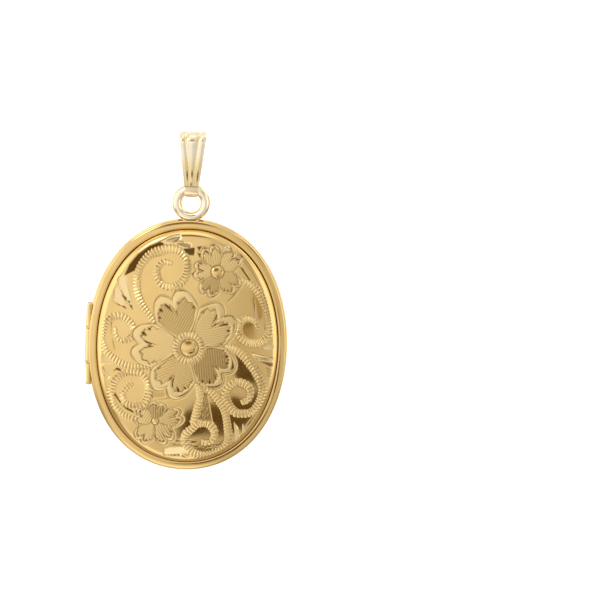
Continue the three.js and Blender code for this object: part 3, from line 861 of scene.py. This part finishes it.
front_grid = np.linspace(-1, 1, 277)
shell("engraved_front", "front_shell", "front_cover", -1, front_grid, front_grid, front_relief, 3.0, ENGRAVED)
shell("polished_back", "back_shell", "back_half", 1, back_grid(0.84, 0.008, 0.03),
      back_grid(0.34, 0.006, 0.028), back_relief, 2.0, POLISHED)


# ------------------------------------------------------------------ inside: snap rim, bezels, windows, cards
def snap_rim():
    profile = rounded([(1.5, -0.42), (1.5, 0.42), (1.72, 0.42), (1.72, -0.42)], 0.05, 3)
    turns = np.linspace(0, TAU, 480, endpoint=False)
    b = Builder()
    rings = []
    for inset, height in profile:
        p = oval(turns, inset, height, 1)
        if inset < 1.6:
            away = np.hypot(p[:, 2], (height + 0.22))
            p[:, 0] += np.where(p[:, 0] > 0, 0.045 * np.exp(-(away / 0.22) ** 2), 0)
        rings.append(b.add(p))
    b.wrap(rings)
    make("snap_band", b.all_points(), b.faces, SATIN, "back_half", "snap_rim", "satin_gold")


def plate(name, inset, near, far, side, dome, material, *where):
    """A thin oval plate with eased edges; its face to the parting plane is raised by dome in the middle."""
    turns = np.linspace(0, TAU, 256, endpoint=False)
    b = Builder()
    ease = 0.03
    first = b.add([[0, side * near, 0]])[0]
    ring = None
    for share in (0.85, 0.6, 0.35, 0.15, 0.04):
        height = near + dome * (1 - share) ** 2
        new = b.add(oval(turns, inset + ease, height, side, share))
        if ring is None:
            b.fan(new, first)
        else:
            b.band(new, ring)
        ring = new
    for i, height in ((inset + ease, near + dome), (inset, near + dome + ease), (inset, far - ease),
                      (inset + ease, far)):
        new = b.add(oval(turns, i, height, side))
        b.band(new, ring)
        ring = new
    for share in (0.15, 0.5, 0.8):
        new = b.add(oval(turns, inset + ease, far, side, share))
        b.band(new, ring)
        ring = new
    last = b.add([[0, side * far, 0]])[0]
    b.fan(ring[::-1], last)
    return make(name, b.all_points(), b.faces, material, *where)


snap_rim()
for half, side, body in (("front", -1, "front_cover"), ("back", 1, "back_half")):
    bezel = rounded([(1.78, 0.12), (3.0, 0.12), (3.0, 0.37), (2.0, 0.37), (2.0, 0.88), (2.6, 0.88),
                     (2.6, 0.98), (1.95, 0.98), (1.78, 0.84)],
                    [0.05, 0.09, 0.06, 0.02, 0.02, 0.03, 0.03, 0.03, 0.03], 3)
    frame_piece = sweep(half + "_picture_bezel", bezel, side, SATIN, body, half + "_bezel", "satin_gold")
    sharpen(frame_piece, 40)
    plate(half + "_window", 2.05, 0.405, 0.64, side, 0.05, CLEAR, body, half + "_lens", "clear_plastic")
    card = plate(half + "_paper", 2.1, 0.67, 0.85, side, 0.0, PAPER, body, half + "_card", "card")
    sharpen(card, 40)


# ------------------------------------------------------------------ hinge
def knuckle(name, node, top, foot, side, body, ends):
    """A length of hinge tube with its solder leaf, filed outside to follow the oval."""
    tube, bore, filed_round = 0.495, 0.21, 69
    outer = []
    for a in np.linspace(0, TAU, 72, endpoint=False):
        turn = a if a < math.pi else a - TAU
        bulge = smoothstep(0.05, 0.3, turn * side) * smoothstep(1.5, 1.25, turn * side)
        outer.append((math.cos(a), math.sin(a), tube + 0.06 * bulge))
    outer = np.array(outer)
    b = Builder()
    chamfer_top, chamfer_foot = ends
    levels = [(foot, chamfer_foot), (foot + 0.4 * chamfer_foot, 0.35 * chamfer_foot)]
    levels += [(z, 0.0) for z in np.linspace(foot + chamfer_foot, top - chamfer_top, 12)]
    levels += [(top - 0.4 * chamfer_top, 0.35 * chamfer_top), (top, chamfer_top)]
    rings = []
    for z, cut in levels:
        radius = outer[:, 2] - cut
        x, y = HINGE_X + outer[:, 0] * radius, outer[:, 1] * radius
        filed = HINGE_X - 0.5 + filed_round - math.sqrt(filed_round ** 2 - z ** 2) + cut * 0.6
        x = np.maximum(x, filed)
        rings.append(b.add(np.stack([x, y, np.full_like(x, z)], -1)))
    for z in (top, foot):
        p = np.stack([HINGE_X + outer[:, 0] * bore, outer[:, 1] * bore, np.full(len(outer), z)], -1)
        rings.append(b.add(p))
    b.wrap(rings)
    obj = make(name, b.all_points(), b.faces, POLISHED, body, node, "polished_gold")
    sharpen(obj, 40)
    mark(obj)


SOFT, CRISP = 0.2, 0.04                            # chamfers of the hinge's ends and of its joints
for name, node, body, side, ends in (
        ("hinge_knuckle_top", "upper_knuckle", "back_half", 1, (SOFT, CRISP)),
        ("hinge_knuckle_middle", "middle_knuckle", "front_cover", -1, (CRISP, CRISP)),
        ("hinge_knuckle_foot", "lower_knuckle", "back_half", 1, (CRISP, SOFT))):
    lo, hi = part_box(node)
    knuckle(name, node, hi.z * MM - OVAL_Z, lo.z * MM - OVAL_Z, side, body, ends)


def pin():
    lo, hi = pin_lo.z * MM - OVAL_Z, pin_hi.z * MM - OVAL_Z
    b = Builder()
    turns = np.linspace(0, TAU, 32, endpoint=False)
    rings = []
    for z, r in ((lo, 0.05), (lo + 0.02, 0.10), (lo + 0.07, 0.145), (lo + 0.14, PIN_R), (hi - 0.14, PIN_R),
                 (hi - 0.07, 0.145), (hi - 0.02, 0.10), (hi, 0.05)):
        r = min(r, PIN_R)
        rings.append(b.add(np.stack([HINGE_X + r * np.cos(turns), r * np.sin(turns), np.full(32, z)], -1)))
    for r, q in zip(rings, rings[1:]):
        b.band(r, q)
    first, last = b.add([[HINGE_X, 0, lo]])[0], b.add([[HINGE_X, 0, hi]])[0]
    b.fan(rings[0][::-1], first)
    b.fan(rings[-1], last)
    make("hinge_wire", b.all_points(), b.faces, SATIN, "back_half", "hinge_pin", "satin_gold")


pin()


# ------------------------------------------------------------------ ring, seat and bail
def wire_ring():
    b = Builder()
    count, around = 160, 40
    turns = np.linspace(0, TAU, count, endpoint=False)
    w = np.linspace(0, TAU, around, endpoint=False)
    ids = []
    for t in turns:
        flat = 0.012 * math.exp(-((t - math.pi / 2) / 0.35) ** 2)      # worn a little where the bail hangs
        r = WIRE_R - 0.003 - flat * np.cos(w) ** 2
        rho = RING_MID - r * np.cos(w)
        ids.append(b.add(np.stack([rho * math.cos(t), r * np.sin(w), RING_Z + rho * math.sin(t)], -1)))
    b.wrap(ids)
    obj = make("wire_ring", b.all_points(), b.faces, PALE, "back_half", "jump_ring", "pale_gold")
    # painted reflection: a paler band along the front and back faces of the wire
    mark(obj, bright=np.tile(0.75 * smoothstep(0.72, 0.97, np.abs(np.sin(w))), count))


def solder_seat():
    """The fillet of solder that holds the ring in the notch, hollow on top where the wire lies."""
    lo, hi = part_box("ring_seat")
    y0, y1 = lo.y * MM, hi.y * MM
    half, mid, deep = hi.x * MM, (y0 + y1) / 2, (y1 - y0) / 2
    bottom, top = lo.z * MM - OVAL_Z, hi.z * MM - OVAL_Z
    b = Builder()
    turns = np.linspace(0, TAU, 72, endpoint=False)

    def plan(share):
        c, s = np.cos(turns), np.sin(turns)
        p = (np.abs(c) ** 4 + np.abs(s) ** 4) ** -0.25
        return half * share * c * p, mid + deep * share * s * p

    def upper(x, y, share):
        rho = RING_MID + np.sqrt(np.clip(WIRE_R ** 2 - y ** 2, 0, None))
        wire = RING_Z - np.sqrt(np.clip(rho ** 2 - x ** 2, 0, None)) - 0.02
        height = np.minimum(top, wire)
        return bottom + 0.03 + (height - bottom - 0.03) * (1 - max(0, (share - 0.72) / 0.28) ** 3)

    centre = b.add([[0, mid, float(upper(np.array([0.0]), np.array([mid]), 0)[0])]])[0]
    ring = None
    for share in (0.15, 0.3, 0.45, 0.6, 0.75, 0.87, 0.95, 1.0):
        x, y = plan(share)
        new = b.add(np.stack([x, y, upper(x, y, share)], -1))
        if ring is None:
            b.fan(new, centre)
        else:
            b.band(new, ring)
        ring = new
    for share in (1.0, 0.5):
        x, y = plan(share)
        new = b.add(np.stack([x, y, np.full_like(x, bottom)], -1))
        b.band(new, ring)
        ring = new
    last = b.add([[0, mid, bottom]])[0]
    b.fan(ring[::-1], last)
    mark(make("ring_solder", b.all_points(), b.faces, PALE, "back_half", "ring_seat", "pale_gold"))


def bail():
    """A leaf pressed with three flutes and folded into a loop, plain where it goes round the ring."""
    top_r, foot_r, strap, step = 1.5, 1.1, 0.42, BAIL_TOP - 6.86
    valley = 0.49                                   # where the wide flute ends, as a share of the half width
    top_z, foot_z = BAIL_TOP - top_r, RING_Z + RING_MID
    lean = math.asin((top_r - foot_r) / (top_z - foot_z))
    stations = []                                   # (y, z, normal y, normal z)
    for a in np.linspace(-lean, math.pi + lean, 64):
        stations.append((top_r * math.cos(a), top_z + top_r * math.sin(a), math.cos(a), math.sin(a)))
    left_top, left_foot = stations[-1], (-foot_r * math.cos(lean), foot_z - foot_r * math.sin(lean))
    ny, nz = -math.cos(lean), -math.sin(lean)

    def straight(p, q, n):
        """Stations along a straight side, close together at the step."""
        run = []
        for z in np.concatenate([np.linspace(p[1], q[1], 46)[1:-1], [step + 0.012, step - 0.012]]):
            t = (z - p[1]) / (q[1] - p[1])
            run.append((p[0] + t * (q[0] - p[0]), z, *n))
        return sorted(run, key=lambda s: s[1], reverse=q[1] < p[1])

    stations += straight(left_top, left_foot, (ny, nz))
    for a in np.linspace(math.pi + lean, TAU - lean, 40):
        stations.append((foot_r * math.cos(a), foot_z + foot_r * math.sin(a), math.cos(a), math.sin(a)))
    right_foot, right_top = (stations[-1][0], stations[-1][1]), (stations[0][0], stations[0][1])
    stations += straight(right_foot, right_top, (-ny, nz))

    half_top, half_step, half_foot = BAIL_HALF, 0.91, 0.85
    shortest, foot_round = 0.645, 0.35              # least room round the ring's wire; rounding of the foot
    low = foot_z - foot_r
    v_out = np.linspace(-1, 1, 81)
    v_in = np.linspace(1, -1, 25)
    b = Builder()
    rings, bright, tarnish, satin = [], [], [], []
    # painted dark reflections, brown drops on the flutes: place across, how far down, half length
    dark_reflections = ((-0.52, 5.45, 0.75), (0.02, 5.25, 0.55), (0.68, 5.55, 0.85), (-0.08, 6.55, 0.30))
    for y, z, n_y, n_z in stations:
        t = min(max((z - step) / (BAIL_TOP - 0.9 - step), 0), 1)
        half = half_step + (half_top - half_step) * t if z > step else half_foot
        if z < low + foot_round:
            half -= 0.30 * (1 - math.sqrt(max(0, 1 - ((low + foot_round - z) / foot_round) ** 2)))
        half -= 0.004
        leafy = 1.0 if z > step else 0.0
        meet = 1 - 0.62 * (1 - t) ** 1.3            # the valleys run together towards the foot
        edges = (-1.0, -valley * meet, valley * meet, 1.0)
        flute, flute_highlight = np.zeros_like(v_out), np.zeros_like(v_out)
        for k, (left, right) in enumerate(zip(edges, edges[1:])):
            inside = (v_out >= left) & (v_out <= right)
            q = (v_out[inside] - (left + right) / 2) / ((right - left) / 2)
            # strongest in the middle of each flute, for the painted highlight
            flute_highlight[inside] = 1 - np.abs(q) ** 4
            deep = (0.05 + 0.17 * t) if k == 1 else (0.04 + 0.15 * t)
            crest = 0.05 * (1 - t) * (k != 1)       # the wide flute stands proud near the foot
            hump = 0.5 - 0.5 * np.cos(np.pi * np.minimum(1, (1 - np.abs(q)) * 2))
            flute[inside] = deep * (1 - np.sqrt(np.clip(1 - (0.985 * q) ** 2, 0, 1))) + crest * hump
        flute *= leafy
        # pressed in below the folded top
        pressed = smoothstep(top_z + 0.85, top_z - 0.3, z) * smoothstep(step + 2.4, top_z - 0.4, z)
        flute += leafy * 0.04 * pressed
        plain = (1 - leafy) * (0.05 + 0.02 * v_out ** 2)
        corner = (0.10 if leafy else 0.05) * smoothstep(0.93, 1.0, np.abs(v_out)) ** 2
        offset = flute + plain + corner + 0.002
        outer = np.stack([half * v_out, y - n_y * offset, z - n_z * offset], -1)
        x_in = half * v_in * (0.88 + 0.12 * smoothstep(step + 0.6, step + 2.0, z))
        inner_corner = 0.06 * smoothstep(0.9, 1.0, np.abs(v_in)) ** 2
        iy, iz = y - n_y * (strap - inner_corner), z - n_z * (strap - inner_corner)
        # room for the ring's wire, which curves away from the bail's axis
        bend = np.sqrt(np.clip((RING_MID - WIRE_R) ** 2 - x_in ** 2, 0, None))
        room = np.maximum(shortest, RING_MID + 0.025 - bend)
        room = np.where(np.abs(x_in) < 1.0, room, 0)
        away = np.hypot(iy, iz - foot_z)
        push = np.maximum(room - away, 0)
        if z < step + 1.6:
            iy = iy + iy / away * push
            iz = iz + (iz - foot_z) / away * push
        inner = np.stack([x_in, iy, iz], -1)
        rings.append(b.add(np.concatenate([outer, inner])))
        down = BAIL_TOP - z
        # where the top folds over, darkened with painted shade
        fold = math.exp(-((down - 0.72) / 0.17) ** 2)
        # painted highlight, strong near the top, dimmed in the fold, and on the plain strap below the step
        glow = 0.7 * (1 - smoothstep(2.4, 4.9, down)) * (1 - 0.9 * fold)
        glow += 0.25 * (down > BAIL_TOP - step + 0.2)
        bright.append(np.concatenate([(flute_highlight if leafy else np.ones_like(v_out)) * glow, 0 * v_in]))
        # painted shade along the step and in the fold, and painted dark reflections on the flutes
        painted_shade = np.full_like(v_out, 0.55 * math.exp(-((z - step) / 0.07) ** 2) + 0.2 * fold)
        for v, at, long in dark_reflections:
            painted_shade += 0.8 * np.clip(1 - ((v_out - v) / 0.13) ** 2 - ((down - at) / long) ** 2, 0, 1) ** 0.6
        tarnish.append(np.concatenate([np.clip(painted_shade, 0, 0.8), 0 * v_in]))
        satin.append(np.full(len(v_out) + len(v_in), 1.3 * math.exp(-((down - 0.80) / 0.22) ** 2)))
    b.wrap(rings)
    obj = make("fluted_bail", b.all_points(), b.faces, PALE, "bail", "bail", "pale_gold")
    mark(obj, bright=np.concatenate(bright), tarnish=np.concatenate(tarnish), satin=np.concatenate(satin))
    sharpen(obj, 42)


wire_ring()
solder_seat()
bail()


# ------------------------------------------------------------------ studio
def studio():
    world = bpy.data.worlds.new("studio")
    bpy.context.scene.world = world
    world.use_nodes = True
    tree = world.node_tree
    tree.nodes.clear()
    out = tree.nodes.new("ShaderNodeOutputWorld")
    coord = tree.nodes.new("ShaderNodeTexCoord")
    path = tree.nodes.new("ShaderNodeLightPath")

    def patch(direction, inner, outer):
        """1 inside a round area of the sky about a direction, 0 outside, as cosines."""
        dot = tree.nodes.new("ShaderNodeVectorMath")
        dot.operation = "DOT_PRODUCT"
        d = Vector(direction).normalized()
        dot.inputs[1].default_value = d
        tree.links.new(coord.outputs["Generated"], dot.inputs[0])
        edge = tree.nodes.new("ShaderNodeMapRange")
        edge.interpolation_type = "SMOOTHSTEP"
        tree.links.new(dot.outputs["Value"], edge.inputs["Value"])
        edge.inputs["From Min"].default_value = math.cos(math.radians(outer))
        edge.inputs["From Max"].default_value = math.cos(math.radians(inner))
        return edge.outputs[0]

    def blend(fac, a, b):
        node = tree.nodes.new("ShaderNodeMix")
        node.data_type = "FLOAT"
        tree.links.new(fac, node.inputs[0])
        for socket, value in ((2, a), (3, b)):
            if isinstance(value, float):
                node.inputs[socket].default_value = value
            else:
                tree.links.new(value, node.inputs[socket])
        return node.outputs[0]

    level = blend(patch((0, 0, 1), 20, 120), 0.50, 0.95)
    for direction, inner, outer, value in SKY:
        level = blend(patch(direction, inner, outer), level, value)
    shown = tree.nodes.new("ShaderNodeBackground")
    shown.inputs[0].default_value = (1.0, 1.0, 1.0, 1)
    shown.inputs[1].default_value = 1.0
    seen = tree.nodes.new("ShaderNodeBackground")
    tree.links.new(ramp(tree, level, [(0.0, (1.0, 0.62, 0.30)), (0.75, (1.0, 0.97, 0.92))]), seen.inputs[0])
    tree.links.new(level, seen.inputs[1])
    pick = tree.nodes.new("ShaderNodeMixShader")
    tree.links.new(path.outputs["Is Camera Ray"], pick.inputs[0])
    tree.links.new(seen.outputs[0], pick.inputs[1])
    tree.links.new(shown.outputs[0], pick.inputs[2])
    tree.links.new(pick.outputs[0], out.inputs[0])


# direction, full inside and nothing outside (degrees), brightness; later ones lie over earlier ones
SKY = [
    ((-0.35, -0.85, 0.02), 8, 44, 1.03),
    ((0.50, -0.80, -0.35), 8, 40, 0.72),
    ((-0.05, -0.86, 0.52), 5, 19, 0.28),
    ((-0.95, -0.25, 0.10), 22, 42, 1.55),
    ((0.92, -0.30, 0.05), 14, 34, 1.45),
    ((0.0, -0.45, 0.90), 8, 26, 1.50),
    ((-0.20, -0.55, -0.80), 10, 32, 1.25),
    ((-0.45, 0.80, 0.25), 20, 60, 1.15),
    ((0.35, 0.85, -0.45), 8, 34, 0.60),
    ((0.55, -0.70, 0.35), 3, 12, 0.30),
]
studio()


def softbox(name, size, strength, location):
    light = bpy.data.lights.new(name, "AREA")
    light.shape = "DISK"
    light.size = size
    light.energy = strength
    lamp = bpy.data.objects.new(name, light)
    bpy.context.scene.collection.objects.link(lamp)
    lamp.location = Vector(location)
    lamp.rotation_euler = (Vector((0, 0, OVAL_Z / MM)) - lamp.location).to_track_quat("-Z", "Y").to_euler()
    return lamp


softbox("key", 0.30, 0.6, (-0.35, -0.45, 0.45))
softbox("fill", 0.40, 0.5, (0.5, 0.3, 0.35))


def flag(name, corners, y, light, dark, scale):
    """A card that only shows as a reflection, uneven in tone."""
    mesh = bpy.data.meshes.new(name)
    mesh.from_pydata(place([(x, y, z) for x, z in corners]).tolist(), [], [tuple(range(len(corners)))])
    mat = bpy.data.materials.new(name)
    mat.use_nodes = True
    tree = mat.node_tree
    tree.nodes.clear()
    out = tree.nodes.new("ShaderNodeOutputMaterial")
    glow = tree.nodes.new("ShaderNodeEmission")
    tone = ramp(tree, noise(tree, scale, 2.0, 0.4, (0.6, 1.0, 1.5)), [(0.38, dark), (0.62, light)])
    tree.links.new(tone, glow.inputs["Color"])
    tree.links.new(glow.outputs[0], out.inputs[0])
    mesh.materials.append(mat)
    card = bpy.data.objects.new(name, mesh)
    bpy.context.scene.collection.objects.link(card)
    card.visible_camera = card.visible_diffuse = card.visible_shadow = card.visible_transmission = False


BROWN, UMBER, TAN = (0.34, 0.26, 0.13), (0.10, 0.062, 0.018), (0.62, 0.52, 0.34)
FLAG_Y = -60.0
flag("flag_low", [(-4, -37.5), (1, -29), (9.5, -26.5), (13.5, -26.5), (16.4, -25.6), (21.3, -26), (24, -24.5),
                  (27.6, -21.5), (29.5, -26), (26, -32), (20.3, -35.6), (14, -36.6), (4.5, -37.5)],
     FLAG_Y, (0.14, 0.09, 0.03), UMBER, 0.07)
flag("flag_petal", [(16.5, -12), (20.6, -13.4), (25.1, -17.1), (28, -21.5), (25.3, -22.5), (21, -21.8),
                    (18.4, -20), (17, -17)], FLAG_Y, BROWN, UMBER, 0.16)
flag("flag_foot", [(3.5, -41), (10.4, -40), (16.8, -37), (18.6, -41.3), (11.5, -45), (3.5, -45.5)],
     FLAG_Y, BROWN, UMBER, 0.10)
flag("flag_side", [(22.8, 4.5), (26.5, 3), (27.5, -4), (25.5, -4.5), (24, 0)], FLAG_Y, TAN, BROWN, 0.16)
flag("flag_loop", [(18.4, -4.6), (23.2, -3.8), (24.6, -9.6), (18.4, -10)],
     FLAG_Y, (0.50, 0.40, 0.24), (0.22, 0.15, 0.06), 0.16)

floor_mesh = bpy.data.meshes.new("studio_floor")
reach, level = 4.0, (OVAL_Z - 50) / MM
floor_corners = [(x * reach, y * reach, level) for x, y in ((-1, -1), (1, -1), (1, 1), (-1, 1))]
floor_mesh.from_pydata(floor_corners, [], [(0, 1, 2, 3)])
studio_floor = bpy.data.objects.new("studio_floor", floor_mesh)
bpy.context.scene.collection.objects.link(studio_floor)
floor_mat, _, floor_shader = node_material("pale_floor")
floor_shader.inputs["Base Color"].default_value = (0.93, 0.93, 0.92, 1)
floor_shader.inputs["Roughness"].default_value = 0.9
floor_shader.inputs["Specular IOR Level"].default_value = 0.0
floor_shader.inputs["Emission Color"].default_value = (1, 1, 1, 1)
floor_shader.inputs["Emission Strength"].default_value = 0.30
floor_mesh.materials.append(floor_mat)
studio_floor.visible_glossy = False

# ------------------------------------------------------------------ camera
AZIMUTH, ELEVATION, ROLL = 0.0, 11.5, 1.4
camera_data = bpy.data.cameras.new("camera")
camera_data.lens, camera_data.sensor_width = 150.0, 36.0
camera_data.clip_start, camera_data.clip_end = 0.01, 30.0
camera = bpy.data.objects.new("camera", camera_data)
bpy.context.scene.collection.objects.link(camera)
bpy.context.scene.camera = camera
az, el = math.radians(AZIMUTH), math.radians(ELEVATION)
target = Vector((0, 0, OVAL_Z / MM))
back = Vector((math.sin(az) * math.cos(el), -math.cos(az) * math.cos(el), math.sin(el)))
distance = 0.3165
camera.location = target + back * distance
aim = (target - camera.location).to_track_quat("-Z", "Y")
turn_right = Matrix.Rotation(math.radians(-2.577), 3, "Y").to_quaternion()
pitch_up = Matrix.Rotation(math.radians(1.03), 3, "X").to_quaternion()
roll = Matrix.Rotation(math.radians(ROLL), 3, "Z").to_quaternion()
camera.rotation_mode = "QUATERNION"
camera.rotation_quaternion = aim @ roll @ turn_right @ pitch_up

bpy.context.scene.view_settings.view_transform = "Standard"
bpy.context.scene.view_settings.look = "None"
